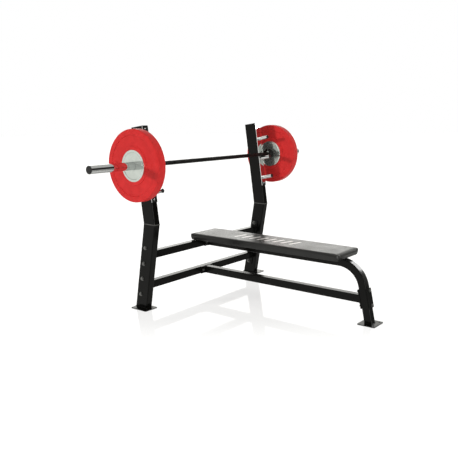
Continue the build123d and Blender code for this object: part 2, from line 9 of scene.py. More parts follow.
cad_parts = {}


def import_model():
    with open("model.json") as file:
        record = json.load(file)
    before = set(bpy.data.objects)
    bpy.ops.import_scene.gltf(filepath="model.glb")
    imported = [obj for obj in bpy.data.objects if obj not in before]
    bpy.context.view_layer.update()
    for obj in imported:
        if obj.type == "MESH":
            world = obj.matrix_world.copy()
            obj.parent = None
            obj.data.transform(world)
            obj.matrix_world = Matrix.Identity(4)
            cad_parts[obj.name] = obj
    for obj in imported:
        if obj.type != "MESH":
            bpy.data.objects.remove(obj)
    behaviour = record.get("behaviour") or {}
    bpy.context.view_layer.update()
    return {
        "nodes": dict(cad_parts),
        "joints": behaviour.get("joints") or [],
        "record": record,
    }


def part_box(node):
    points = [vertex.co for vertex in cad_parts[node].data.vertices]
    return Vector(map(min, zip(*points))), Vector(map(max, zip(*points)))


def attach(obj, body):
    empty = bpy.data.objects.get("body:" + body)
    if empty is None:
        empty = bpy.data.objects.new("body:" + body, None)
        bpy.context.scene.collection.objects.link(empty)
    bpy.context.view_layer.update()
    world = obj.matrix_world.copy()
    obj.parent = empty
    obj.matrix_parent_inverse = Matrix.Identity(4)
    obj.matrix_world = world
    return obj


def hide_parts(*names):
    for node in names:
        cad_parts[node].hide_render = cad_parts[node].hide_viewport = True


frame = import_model()
NODES = frame["nodes"]

SIDES = {"left": -1, "right": 1}
MM = 0.001

# --- camera
CAMERA_AT = Vector((-3.3152, -2.2583, 1.2496))
CAMERA_YAW = 51.33
CAMERA_PITCH = 10.418
CAMERA_ROLL = -0.497
CAMERA_LENS = 48.01
SENSOR_WIDTH = 36
CLIP_END = 200
LEVEL_VIEW = (math.sin(math.radians(CAMERA_YAW)), math.cos(math.radians(CAMERA_YAW)), 0.0)

# --- room: brightness against the sine of the elevation, in front of the object and behind it
FRONT_LEVELS = ((-1, 0.60), (-0.60, 0.60), (-0.37, 0.66), (-0.22, 0.30), (-0.12, 0.09),
                (0.0, 0.02), (0.42, 0.02), (0.58, 0.50), (1, 0.50))
BACK_LEVELS = ((-1, 0.60), (-0.40, 0.60), (-0.20, 0.50), (-0.06, 0.60), (0.02, 2.45),
               (0.25, 2.55), (0.44, 0.80), (0.60, 0.50), (1, 0.50))
BACK_FADE = (0.25, 0.75)
SKY_SPAN = 2.6

# --- bright panels of the room: direction, brightness, and the cosines at which each fades in and is full
PANELS = (
    (Vector((-0.79, 0.59, -0.10)), 0.90, 0.90, 0.96),
    (Vector((-0.83, -0.50, 0.12)), 0.60, 0.88, 0.95),
    (Vector((-0.28, -0.94, 0.02)), 8.0, 0.955, 0.975),
    (Vector((-0.20, -0.50, 0.85)), 2.2, 0.88, 0.94),
)

# --- key light at the back left
KEY_FROM = Vector((-1.0, 0.73, 0.20))
KEY_STRENGTH = 1.75
KEY_WIDTH = 4

# --- soft box at the right, seen in the bend of the leg and in the right wear plate
SOFT_BOX_AT = Vector((1.9, -0.78, 1.18))
SOFT_BOX_SIZE = (0.95, 0.58)
SOFT_BOX_WATTS = 27
SOFT_BOX_RECEIVERS = ("seat_beam_leg", "left_wear_plate", "right_wear_plate", "wear_plate_screws",
                      "right_top_peg", "right_middle_peg", "right_bottom_peg")

# --- floor: deeper into the view its mirror fades in and its glow drops
FLOOR_R = 40
FLOOR_GREY = 0.30
FLOOR_FADE = (-1.0, -0.25)
FLOOR_MIRROR = 0.12
FLOOR_MIRROR_ROUGHNESS = 0.05
FLOOR_GLOW = 0.86
FLOOR_GLOW_DROP = 0.22

# --- bar: its axis, and the knurling by distance from the middle of the shaft
SPIN = next(joint for joint in frame["joints"] if joint["name"] == "left_sleeve_spin")
BAR = Vector((0.0, SPIN["pos_m"][1], SPIN["pos_m"][2]))
SHAFT_R = 14 * MM
SHAFT_LIMIT_R = 14.3 * MM
KNURL_PITCH = 1.6 * MM
CENTRE_GRIP_END = 60 * MM
GRIP_START = 190 * MM
GRIP_END = 645 * MM
GRIP_MARK = 405 * MM
GRIP_MARK_HALF = 4 * MM

# --- bumper plates
TURN_STEPS = 192
TREAD_ROUND = 9 * MM
WEB_DEPTH = 5 * MM
RIM_INNER_R = 190 * MM
COLLAR_INNER_R = 105 * MM
COLLAR_OUTER_R = 119 * MM
BADGE_RISE = 1.8 * MM
BADGE_MIDDLES = (0, 180)
BADGE_SPAN = 15
BADGE_RADII = (138 * MM, 164 * MM)
HUB_BORE_R = 25.4 * MM
HUB_DEPTH = 1.5 * MM
HUB_GROOVE_DEPTH = 1.9 * MM
HUB_LIP_R = 84 * MM

# --- pad cover
PAD_CELL = 5 * MM
PAD_CORNER = 21 * MM
PAD_TOP_INSET = 3 * MM
PAD_START_DROP = 0.5 * MM
SWELL_DEPTH = 20 * MM
SWELL_FRAMES = 14
CROWN_CAP = 4 * MM
HEM_WIDTH = 31 * MM
HEM_GAP = 0.2 * MM
POCKET_GAP = 0.3 * MM
VINYL = 1.1 * MM
PLY_PITCH = 3 * MM
STAPLE_PITCH = 38 * MM
STAPLE_INSET = 0.72 * HEM_WIDTH

# --- print on the pad: where its middle lies along the pad, and the slanted bars' row
PRINT_PLACE = 0.535
PRINT_HALF_LENGTH = 255 * MM
PRINT_HALF_WIDTH = 48 * MM
PRINT_SLANT = 0.28
PRINT_PITCH = 63.8 * MM
PRINT_BAR = 0.30
PRINT_DEPTH = 12 * MM

# --- welds
WELD_R = 2.6 * MM
WELD_STEP = 1.3 * MM
WELD_SIDES = 8
WELD_RIPPLE = 0.10
WELD_WANDER = 0.05
TUBE_CORNER = 5 * MM
FLANGE_THICKNESS = 8 * MM


# --- shader helpers

def node(tree, kind, inputs=None, **properties):
    """Adds a node. Each input takes a value or a socket to link."""
    made = tree.nodes.new(kind)
    for key, value in properties.items():
        setattr(made, key, value)
    for key, value in (inputs or {}).items():
        if isinstance(value, bpy.types.NodeSocket):
            tree.links.new(value, made.inputs[key])
        else:
            made.inputs[key].default_value = value
    return made


def calc(tree, operation, *values):
    return node(tree, "ShaderNodeMath", dict(enumerate(values)), operation=operation).outputs[0]


def vector_calc(tree, operation, *values):
    return node(tree, "ShaderNodeVectorMath", dict(enumerate(values)), operation=operation)


def dot(tree, vector, direction):
    return vector_calc(tree, "DOT_PRODUCT", vector, direction).outputs["Value"]


def grey(level):
    return (level, level, level, 1.0)


def warm_grey(level):
    return (level, 0.995 * level, 0.955 * level, 1.0)


def shader(name, **inputs):
    """New material with its tree and Principled shader; underscores in input names stand for spaces."""
    material = bpy.data.materials.new(name)
    material.use_nodes = True
    tree = material.node_tree
    principled = tree.nodes["Principled BSDF"]
    for key, value in inputs.items():
        principled.inputs[key.replace("_", " ")].default_value = value
    return material, tree, principled


def coordinates(tree):
    return node(tree, "ShaderNodeTexCoord").outputs["Object"]


def noise(tree, vector, scale, detail=2.0, roughness=0.5):
    inputs = {"Vector": vector, "Scale": scale, "Detail": detail, "Roughness": roughness}
    return node(tree, "ShaderNodeTexNoise", inputs).outputs["Fac"]


def ramp(tree, factor, stops):
    made = node(tree, "ShaderNodeValToRGB", {"Fac": factor})
    elements = made.color_ramp.elements
    while len(elements) < len(stops):
        elements.new(0.5)
    for element, (position, colour) in zip(elements, stops):
        element.position = position
        element.color = colour
    return made.outputs["Color"]


def tones(tree, factor, dark, light, margin=0.3):
    """A dark to light colour over the middle of a noise, from margin to 1 - margin."""
    return ramp(tree, factor, [(margin, (*dark, 1)), (1 - margin, (*light, 1))])


def eased(tree, value, start, end):
    """0 up to start and 1 from end, with a smooth step between them."""
    inputs = {"Value": value, "From Min": start, "From Max": end}
    return node(tree, "ShaderNodeMapRange", inputs, interpolation_type="SMOOTHSTEP").outputs["Result"]


def spread(tree, factor, low, high):
    """Maps the middle of a noise, 0.3 to 0.7, onto low to high."""
    inputs = {"Value": factor, "From Min": 0.3, "From Max": 0.7, "To Min": low, "To Max": high}
    return node(tree, "ShaderNodeMapRange", inputs).outputs["Result"]


def mixed(tree, factor, first, second):
    """Mix of two colours; on the node, 0 is the factor and 6 and 7 are the colours."""
    made = node(tree, "ShaderNodeMix", data_type="RGBA")
    for socket, value in ((made.inputs[0], factor), (made.inputs[6], first), (made.inputs[7], second)):
        if isinstance(value, bpy.types.NodeSocket):
            tree.links.new(value, socket)
        else:
            socket.default_value = value
    return made.outputs[2]


def bump(tree, principled, height, strength, distance):
    inputs = {"Height": height, "Strength": strength, "Distance": distance}
    tree.links.new(node(tree, "ShaderNodeBump", inputs).outputs["Normal"], principled.inputs["Normal"])


def feed(tree, principled, **sockets):
    for key, socket in sockets.items():
        tree.links.new(socket, principled.inputs[key.replace("_", " ")])


def bar_polar(tree):
    """Distance from the bar's axis, the angle about it, and the place along it."""
    offset = vector_calc(tree, "SUBTRACT", coordinates(tree), BAR).outputs[0]
    parts = node(tree, "ShaderNodeSeparateXYZ", {"Vector": offset})
    flat = vector_calc(tree, "MULTIPLY", offset, (0.0, 1.0, 1.0)).outputs[0]
    radius = vector_calc(tree, "LENGTH", flat).outputs["Value"]
    angle = calc(tree, "ARCTAN2", parts.outputs["Z"], parts.outputs["Y"])
    return radius, angle, parts.outputs["X"]


def ring_noise(tree, scale, detail):
    """Noise that changes only with the distance from the bar's axis."""
    inputs = {"W": bar_polar(tree)[0], "Scale": scale, "Detail": detail}
    return node(tree, "ShaderNodeTexNoise", inputs, noise_dimensions="1D").outputs["Fac"]


# --- materials, one for each slot of the record

def black_paint():
    """Gloss powder coat with a fine orange peel."""
    material, tree, principled = shader("black_powder_coat", Specular_IOR_Level=0.12)
    place = coordinates(tree)
    cloud = noise(tree, place, 7.0, 4.0)
    peel = noise(tree, place, 620.0, 2.0, 0.6)
    feed(tree, principled,
         Base_Color=tones(tree, cloud, (0.0024, 0.0024, 0.0021), (0.0040, 0.0039, 0.0035)),
         Roughness=spread(tree, cloud, 0.13, 0.19))
    bump(tree, principled, peel, 0.2, 0.00006)
    return material


def weld_highlight_paint():
    """The same coat over weld beads, its colour painted lighter as a painted highlight for the light the
    beads catch, mottled at random.
    """
    material, tree, principled = shader("weld_coat_painted_highlight", Specular_IOR_Level=0.4)
    place = coordinates(tree)
    bead_mottle = noise(tree, place, 90.0, 4.0, 0.6)
    # painted highlight: the base colour is far lighter than the black coat, standing in for light caught by
    # the beads
    feed(tree, principled,
         Base_Color=tones(tree, bead_mottle, (0.030, 0.030, 0.028), (0.070, 0.069, 0.065)),
         Roughness=spread(tree, bead_mottle, 0.28, 0.42))
    bump(tree, principled, bead_mottle, 0.2, 0.0001)
    return material


def chrome():
    material, tree, principled = shader("polished_chrome", Metallic=1.0)
    place = coordinates(tree)
    haze = noise(tree, place, 38.0, 5.0, 0.65)
    feed(tree, principled,
         Base_Color=tones(tree, haze, (0.70, 0.71, 0.71), (0.80, 0.81, 0.81)),
         Roughness=spread(tree, haze, 0.02, 0.065))
    bump(tree, principled, noise(tree, place, 160.0, 3.0), 0.03, 0.00015)
    return material


def turned_steel(name, low, high, roughness, groove_scale):
    """Plated steel with fine concentric tool marks about the bar's axis."""
    material, tree, principled = shader(name, Metallic=0.87)
    rings = ring_noise(tree, groove_scale, 3.0)
    cloud = noise(tree, coordinates(tree), 22.0, 4.0)
    shade = calc(tree, "MULTIPLY_ADD", rings, 0.5, calc(tree, "MULTIPLY", cloud, 0.5))
    principled.inputs["Anisotropic"].default_value = 0.25
    feed(tree, principled,
         Base_Color=tones(tree, shade, low, high, 0.35),
         Roughness=spread(tree, rings, *roughness),
         Tangent=node(tree, "ShaderNodeTangent", direction_type="RADIAL", axis="X").outputs["Tangent"])
    bump(tree, principled, rings, 0.04, 0.00010)
    return material


def satin_steel():
    return turned_steel("turned_hub_steel", (0.58, 0.62, 0.58), (0.68, 0.73, 0.69), (0.11, 0.18), 900.0)


def zinc_steel():
    return turned_steel("zinc_plate", (0.46, 0.47, 0.47), (0.62, 0.63, 0.62), (0.25, 0.38), 1400.0)


def bronze():
    """Sintered bronze: speckled and slightly porous."""
    material, tree, principled = shader("sintered_bronze", Metallic=1.0)
    place = coordinates(tree)
    speck = noise(tree, place, 1500.0, 2.0)
    feed(tree, principled,
         Base_Color=tones(tree, speck, (0.30, 0.19, 0.08), (0.58, 0.38, 0.18), 0.35),
         Roughness=spread(tree, speck, 0.35, 0.55))
    bump(tree, principled, speck, 0.3, 0.0001)
    return material


def black_oxide_steel():
    """Dark steel whose grip zones are knurled with crossed diagonal cuts."""
    material, tree, principled = shader("black_oxide", Metallic=1.0)
    radius, angle, along = bar_polar(tree)
    around = calc(tree, "MULTIPLY", angle, SHAFT_R)
    cuts = []
    for sign in (1.0, -1.0):
        slope = calc(tree, "MULTIPLY_ADD", around, sign, along)
        wave = calc(tree, "SINE", calc(tree, "MULTIPLY", slope, math.pi / KNURL_PITCH))
        cuts.append(calc(tree, "ABSOLUTE", wave))
    diamonds = calc(tree, "MINIMUM", *cuts)
    reach = calc(tree, "ABSOLUTE", along)
    grip = calc(tree, "MULTIPLY", calc(tree, "GREATER_THAN", reach, GRIP_START),
                calc(tree, "LESS_THAN", reach, GRIP_END))
    mark = calc(tree, "COMPARE", reach, GRIP_MARK, GRIP_MARK_HALF)
    centre = calc(tree, "LESS_THAN", reach, CENTRE_GRIP_END)
    knurl = calc(tree, "MULTIPLY", calc(tree, "MAXIMUM", grip, centre), calc(tree, "SUBTRACT", 1.0, mark))
    shaft = calc(tree, "LESS_THAN", radius, SHAFT_LIMIT_R)
    height = calc(tree, "MULTIPLY", diamonds, calc(tree, "MULTIPLY", knurl, shaft))
    haze = noise(tree, coordinates(tree), 55.0, 4.0)
    feed(tree, principled,
         Base_Color=tones(tree, haze, (0.014, 0.013, 0.013), (0.027, 0.026, 0.025)),
         Roughness=calc(tree, "MULTIPLY_ADD", knurl, 0.10, spread(tree, haze, 0.26, 0.38)))
    bump(tree, principled, height, 0.7, 0.0004)
    return material


def black_fastener():
    """Black zinc on bolts, nuts and washers."""
    material, tree, principled = shader("black_zinc", Metallic=0.85)
    place = coordinates(tree)
    haze = noise(tree, place, 240.0, 4.0, 0.6)
    feed(tree, principled,
         Base_Color=tones(tree, haze, (0.11, 0.11, 0.11), (0.21, 0.21, 0.20)),
         Roughness=spread(tree, haze, 0.24, 0.42))
    bump(tree, principled, noise(tree, place, 1800.0, 2.0), 0.15, 0.00005)
    return material


def black_plastic():
    """Moulded plastic with a fine spark-eroded grain."""
    material, tree, principled = shader("black_plastic", Specular_IOR_Level=0.4)
    place = coordinates(tree)
    grain = noise(tree, place, 1300.0, 2.0, 0.6)
    cloud = noise(tree, place, 60.0, 3.0)
    feed(tree, principled,
         Base_Color=tones(tree, cloud, (0.008, 0.008, 0.008), (0.014, 0.014, 0.014)),
         Roughness=spread(tree, grain, 0.34, 0.50))
    bump(tree, principled, grain, 0.3, 0.00008)
    return material


def red_rubber():
    """Moulded rubber: slightly mottled, with faint flow streaks round the plate and a fine grain."""
    material, tree, principled = shader("red_bumper_rubber", Specular_IOR_Level=0.12)
    place = coordinates(tree)
    mottle = noise(tree, place, 26.0, 5.0, 0.6)
    flow = ring_noise(tree, 160.0, 2.0)
    blend = calc(tree, "MULTIPLY_ADD", mottle, 0.9, calc(tree, "MULTIPLY", flow, 0.1))
    grain = noise(tree, place, 1100.0, 3.0, 0.6)
    feed(tree, principled,
         Base_Color=tones(tree, blend, (0.455, 0.018, 0.018), (0.535, 0.025, 0.025), 0.32),
         Roughness=spread(tree, mottle, 0.34, 0.46))
    bump(tree, principled, grain, 0.2, 0.00012)
    return material


def plywood():
    """Birch ply: long grain on the faces and thin layers on the edges."""
    material, tree, principled = shader("plywood", Specular_IOR_Level=0.3)
    place = coordinates(tree)
    stretched = vector_calc(tree, "MULTIPLY", place, (60.0, 3.0, 60.0)).outputs[0]
    grain = noise(tree, stretched, 1.0, 5.0, 0.6)
    height = node(tree, "ShaderNodeSeparateXYZ", {"Vector": place}).outputs["Z"]
    wave = calc(tree, "SINE", calc(tree, "MULTIPLY", height, 2 * math.pi / PLY_PITCH))
    plies = calc(tree, "GREATER_THAN", wave, 0.0)
    face = tones(tree, grain, (0.42, 0.27, 0.14), (0.62, 0.45, 0.27), 0.35)
    feed(tree, principled,
         Base_Color=mixed(tree, calc(tree, "MULTIPLY", plies, 0.35), face, (0.24, 0.14, 0.07, 1)),
         Roughness=spread(tree, grain, 0.5, 0.68))
    bump(tree, principled, grain, 0.3, 0.0003)
    return material


def print_mask(tree, place):
    """A plain row of slanted bars printed on the middle of the pad's top."""
    parts = node(tree, "ShaderNodeSeparateXYZ", {"Vector": place})
    across, along = parts.outputs["X"], parts.outputs["Y"]
    low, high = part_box("pad_cushion")
    offset = calc(tree, "SUBTRACT", along, low.y + PRINT_PLACE * (high.y - low.y))
    slanted = calc(tree, "MULTIPLY_ADD", across, PRINT_SLANT, offset)
    row = calc(tree, "LESS_THAN", calc(tree, "ABSOLUTE", slanted), PRINT_HALF_LENGTH)
    band = calc(tree, "LESS_THAN", calc(tree, "ABSOLUTE", across), PRINT_HALF_WIDTH)
    phase = calc(tree, "FRACT", calc(tree, "DIVIDE", slanted, PRINT_PITCH))
    stripe = calc(tree, "LESS_THAN", phase, PRINT_BAR)
    top = calc(tree, "GREATER_THAN", parts.outputs["Z"], high.z - PRINT_DEPTH)
    return calc(tree, "MULTIPLY", calc(tree, "MULTIPLY", row, band), calc(tree, "MULTIPLY", stripe, top))


def black_vinyl():
    """Grained upholstery vinyl with a worn-in sheen and the printed bars."""
    material, tree, principled = shader("black_vinyl", Specular_IOR_Level=0.4)
    place = coordinates(tree)
    cells = node(tree, "ShaderNodeTexVoronoi", {"Vector": place, "Scale": 620.0, "Randomness": 1.0},
                 feature="DISTANCE_TO_EDGE").outputs["Distance"]
    widths = {"Value": cells, "From Min": 0.0, "From Max": 0.16}
    creases = node(tree, "ShaderNodeMapRange", widths).outputs["Result"]
    fine = noise(tree, place, 1500.0, 2.0)
    cloud = noise(tree, place, 9.0, 4.0)
    leather = tones(tree, cloud, (0.008, 0.008, 0.008), (0.014, 0.014, 0.013))
    feed(tree, principled,
         Base_Color=mixed(tree, print_mask(tree, place), leather, (0.82, 0.79, 0.77, 1)),
         Roughness=calc(tree, "MULTIPLY_ADD", creases, -0.08, spread(tree, cloud, 0.34, 0.42)))
    bump(tree, principled, calc(tree, "MULTIPLY_ADD", fine, 0.2, creases), 0.35, 0.00018)
    return material


MATERIALS = {
    make.__name__: make()
    for make in (black_paint, chrome, satin_steel, black_oxide_steel, zinc_steel, bronze, black_fastener,
                 black_plastic, red_rubber, plywood, black_vinyl)
}


def dress(obj, slot):
    """Gives a piece or a CAD node the material of its slot."""
    obj.data.materials.clear()
    obj.data.materials.append(MATERIALS[slot])


def dress_nodes():
    """Dresses the CAD nodes, with the lighter coat on the seams of the uprights, a painted highlight."""
    for subpart in frame["record"]["subparts"]:
        dress(NODES[subpart["node"]], subpart["material_slot"])
    seam_highlight_coat = weld_highlight_paint()
    for name in SIDES:
        # the seams get the lighter coat: a painted highlight along the weld
        NODES[f"{name}_upright_weld"].data.materials[0] = seam_highlight_coat


# --- mesh helpers

def make_object(name, vertices, faces, smooth_angle=38.0):
    mesh = bpy.data.meshes.new(name)
    mesh.from_pydata(vertices, [], faces)
    mesh.validate()
    made = bmesh.new()
    made.from_mesh(mesh)
    bmesh.ops.recalc_face_normals(made, faces=made.faces)
    made.to_mesh(mesh)
    made.free()
    mesh.shade_smooth()
    mesh.set_sharp_from_angle(angle=math.radians(smooth_angle))
    obj = bpy.data.objects.new(name, mesh)
    bpy.context.scene.collection.objects.link(obj)
    return obj


def piece(obj, body, slot, *replaced):
    """Finishes a piece: its material, the body it rides on and the CAD nodes it stands for."""
    dress(obj, slot)
    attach(obj, body)
    if replaced:
        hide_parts(*replaced)


def rounded_outline(corners, steps=5):
    """Outline of (a, b, radius) corners, each turned into a curve of that radius."""
    points = []
    for index, (a, b, radius) in enumerate(corners):
        here = Vector((a, b))
        before = Vector(corners[index - 1][:2]) - here
        after = Vector(corners[(index + 1) % len(corners)][:2]) - here
        turn = math.pi - before.angle(after)
        cut = min(radius * math.tan(turn / 2), 0.45 * before.length, 0.45 * after.length)
        if radius == 0 or cut < 1e-6:
            points.append(here)
            continue
        start = here + before.normalized() * cut
        end = here + after.normalized() * cut
        for step in range(steps + 1):
            t = step / steps
            points.append(start * (1 - t) ** 2 + here * 2 * t * (1 - t) + end * t ** 2)
    return points


def joined(*shapes):
    """Several (vertices, faces) shapes as one."""
    vertices, faces = [], []
    for more_vertices, more_faces in shapes:
        start = len(vertices)
        vertices += more_vertices
        faces += [tuple(start + index for index in face) for face in more_faces]
    return vertices, faces


def ring_faces(rings, count, closed=True):
    """Quads between rings of count vertices each; closed joins the last ring to the first."""
    faces = []
    last = rings if closed else rings - 1
    for ring in range(last):
        for step in range(count):
            a, b = ring * count, ((ring + 1) % rings) * count
            after = (step + 1) % count
            faces.append((a + step, a + after, b + after, b + step))
    return faces


def turned(outline):
    """Closed solid of revolution about the bar from (x, radius) points."""
    vertices = []
    for x, radius in outline:
        for step in range(TURN_STEPS):
            angle = 2 * math.pi * step / TURN_STEPS
            vertices.append((x, BAR.y + radius * math.cos(angle), BAR.z + radius * math.sin(angle)))
    return vertices, ring_faces(len(outline), TURN_STEPS)


# --- bumper plates

def both_faces(outer, inner, profile):
    """Closed outline of a plate from one face's (depth, radius, round) corners, used on both faces."""
    sign = 1 if inner > outer else -1
    near = [(outer + sign * depth, radius, bend) for depth, radius, bend in profile]
    far = [(inner - sign * depth, radius, bend) for depth, radius, bend in reversed(profile)]
    return rounded_outline(near + far)


def web_badge(face_x, outward, middle, span, low_r, high_r):
    """Blank raised pad on the web between two radii, with its edges sloped and its face level."""
    steps = max(8, round(span / 3))
    loops = [(0.0, -1.2 * MM), (0.0, 0.3 * BADGE_RISE), (0.7 * MM, 0.85 * BADGE_RISE), (1.8 * MM, BADGE_RISE)]
    vertices = []
    for inset, height in loops:
        outline = []
        low, high = low_r + inset, high_r - inset
        for radius, order in ((low, range(steps + 1)), (high, range(steps, -1, -1))):
            lean = math.degrees(inset / radius)
            for step in order:
                angle = math.radians(middle - span / 2 + lean + (span - 2 * lean) * step / steps)
                outline.append((radius, angle))
        for radius, angle in outline:
            vertices.append((face_x + outward * height,
                             BAR.y + radius * math.cos(angle), BAR.z + radius * math.sin(angle)))
    count = 2 * (steps + 1)
    faces = ring_faces(len(loops), count, closed=False)
    top = (len(loops) - 1) * count
    for start in (0, top):
        faces += [(start + step, start + step + 1, start + count - 2 - step, start + count - 1 - step)
                  for step in range(steps)]
    return vertices, faces


def bumper_plate(name, side):
    node_name = f"{name}_plate_rubber"
    low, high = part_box(node_name)
    outer, inner = (low.x, high.x) if side < 0 else (high.x, low.x)
    rim = (high.z - low.z) / 2
    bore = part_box(f"{name}_plate_hub")[1].z - BAR.z
    # depth from the face, radius and rounding of each corner
    profile = [
        (1.0 * MM, bore, 0),
        (1.0 * MM, COLLAR_INNER_R - 1.5 * MM, 0.8 * MM),
        (0, COLLAR_INNER_R, 1.2 * MM),
        (0, COLLAR_OUTER_R, 1.5 * MM),
        (WEB_DEPTH, COLLAR_OUTER_R + 2 * MM, 1.5 * MM),
        (WEB_DEPTH, RIM_INNER_R - 3 * MM, 2 * MM),
        (0, RIM_INNER_R, 1.2 * MM),
        (0, rim, TREAD_ROUND),
    ]
    shapes = [turned(both_faces(outer, inner, profile))]
    for face, outward in ((outer, side), (inner, -side)):
        web = face - outward * WEB_DEPTH
        for middle in BADGE_MIDDLES:
            shapes.append(web_badge(web, outward, middle, BADGE_SPAN, *BADGE_RADII))
    tyre = make_object(f"{name}_bumper_plate", *joined(*shapes))
    piece(tyre, f"{name}_plate", "red_rubber", node_name)


def plate_hub(name, side):
    node_name = f"{name}_plate_hub"
    low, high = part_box(node_name)
    outer, inner = (low.x, high.x) if side < 0 else (high.x, low.x)
    edge = high.z - BAR.z
    # depth from the face, radius and rounding of each corner
    profile = [
        (2.6 * MM, HUB_BORE_R, 0),
        (HUB_DEPTH, HUB_BORE_R + 1.1 * MM, 0.3 * MM),
        (HUB_DEPTH, 31 * MM, 0.2 * MM),
        (HUB_GROOVE_DEPTH, 31.5 * MM, 0.2 * MM),
        (HUB_GROOVE_DEPTH, 33.0 * MM, 0.2 * MM),
        (HUB_DEPTH, 33.5 * MM, 0.2 * MM),
        (HUB_DEPTH, HUB_LIP_R - 2.5 * MM, 1.0 * MM),
        (0, HUB_LIP_R, 1.0 * MM),
        (0, edge, 0.9 * MM),
    ]
    hub = make_object(node_name + "_turned", *turned(both_faces(outer, inner, profile)))
    piece(hub, f"{name}_plate", "satin_steel", node_name)


# --- pad

def softened(x, y, half_width, half_length, corner):
    """Moves a point of a rectangle so that its corners become quarter discs."""
    a = max(abs(x) - (half_width - corner), 0.0) / corner
    b = max(abs(y) - (half_length - corner), 0.0) / corner
    if a and b:
        a, b = a * math.sqrt(1 - b * b / 2), b * math.sqrt(1 - a * a / 2)
        x = math.copysign(half_width - corner + a * corner, x)
        y = math.copysign(half_length - corner + b * corner, y)
    return x, y


def pad_shape():
    """Vertices and faces of the cover: top, sides, turned-under hem and the pocket for the board."""
    low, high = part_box("pad_cushion")
    board_low, board_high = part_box("pad_board")
    centre = (low + high) / 2
    half_width, half_length = (high.x - low.x) / 2, (high.y - low.y) / 2
    columns = round(2 * half_width / PAD_CELL)
    rows = round(2 * half_length / PAD_CELL)
    top = high.z - PAD_START_DROP
    hem = board_low.z - HEM_GAP
    pocket = half_width - (board_high.x - board_low.x) / 2 - POCKET_GAP
    edge = [(c, 0) for c in range(columns)] + [(columns, r) for r in range(rows)]
    edge += [(c, rows) for c in range(columns, 0, -1)] + [(0, r) for r in range(rows, 0, -1)]
    vertices, faces = [], []

    def place(u, v, inset, z):
        """Point at grid position u, v (-1 to 1) of the outline that is inset by that much."""
        wide, long = half_width - inset, half_length - inset
        corner = max(PAD_CORNER - inset, 2 * MM)
        x, y = softened(u * wide, v * long, wide, long, corner)
        vertices.append((centre.x + x, centre.y + y, z))
        return len(vertices) - 1

    def sheet(inset, z):
        """Flat grid of points filling the outline, with the grid's faces; returns its border, in order."""
        index_of = {(column, row): place(2 * column / columns - 1, 2 * row / rows - 1, inset, z)
                    for row in range(rows + 1) for column in range(columns + 1)}
        faces.extend((index_of[c, r], index_of[c + 1, r], index_of[c + 1, r + 1], index_of[c, r + 1])
                     for r in range(rows) for c in range(columns))
        return [index_of[spot] for spot in edge]

    # inset and height of each loop: down the sides, round the hem and up into the pocket
    drop = top - low.z
    skirt = [(1.2 * MM, top - 0.8 * MM), (0.3 * MM, top - 2.4 * MM), (0, top - 5.5 * MM)]
    skirt += [(0.2 * MM, top - 0.38 * drop), (1.0 * MM, top - 0.54 * drop), (2.4 * MM, top - 0.70 * drop)]
    skirt += [(4.2 * MM, top - 0.84 * drop), (6.0 * MM, low.z + 1 * MM), (6.8 * MM, hem)]
    skirt += [(8.5 * MM, hem - VINYL), (0.6 * HEM_WIDTH, hem - VINYL), (HEM_WIDTH, hem - VINYL)]
    skirt += [(HEM_WIDTH + 0.6 * MM, hem - VINYL / 2), (HEM_WIDTH, hem), (0.6 * HEM_WIDTH, hem)]
    skirt += [(pocket, hem), (pocket, board_low.z + 6 * MM)]
    loops = [sheet(PAD_TOP_INSET, top)]
    loops += [[place(2 * c / columns - 1, 2 * r / rows - 1, inset, z) for c, r in edge] for inset, z in skirt]
    loops.append(sheet(pocket, board_high.z + POCKET_GAP))
    for outer, inner in zip(loops, loops[1:]):
        for step in range(len(edge)):
            after = (step + 1) % len(edge)
            faces.append((outer[step], outer[after], inner[after], inner[step]))
    return vertices, faces


def inflate(obj, pinned_below):
    """Swells the top of the cover as cloth under pressure, its lower part held, and caps the swelling."""
    rest = [vertex.co.copy() for vertex in obj.data.vertices]
    held = obj.vertex_groups.new(name="held")
    held.add([v.index for v in obj.data.vertices if v.co.z < pinned_below], 1.0, "REPLACE")
    cloth = obj.modifiers.new("cloth", "CLOTH")
    cloth.settings.quality = 5
    cloth.settings.mass = 0.3
    cloth.settings.tension_stiffness = 40
    cloth.settings.compression_stiffness = 40
    cloth.settings.shear_stiffness = 15
    cloth.settings.bending_stiffness = 2
    cloth.settings.use_pressure = True
    cloth.settings.uniform_pressure_force = 4
    cloth.settings.vertex_group_mass = held.name
    cloth.settings.effector_weights.gravity = 0
    cloth.collision_settings.use_collision = False
    cloth.point_cache.frame_end = SWELL_FRAMES
    scene = bpy.context.scene
    for number in range(1, SWELL_FRAMES + 1):
        scene.frame_set(number)
    swollen = obj.evaluated_get(bpy.context.evaluated_depsgraph_get()).data
    moved = [vertex.co - old for vertex, old in zip(swollen.vertices, rest)]
    obj.modifiers.remove(cloth)
    for vertex, old, move in zip(obj.data.vertices, rest, moved):
        length = move.length
        if length > 0:
            vertex.co = old + move * (CROWN_CAP * math.tanh(length / CROWN_CAP) / length)
    scene.frame_set(1)


def pad_cover():
    low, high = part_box("pad_cushion")
    cover = make_object("pad_cover", *pad_shape(), smooth_angle=70.0)
    inflate(cover, high.z - SWELL_DEPTH)
    finer = cover.modifiers.new("finer", "SUBSURF")
    finer.levels = finer.render_levels = 1
    piece(cover, "bench", "black_vinyl", "pad_cushion")


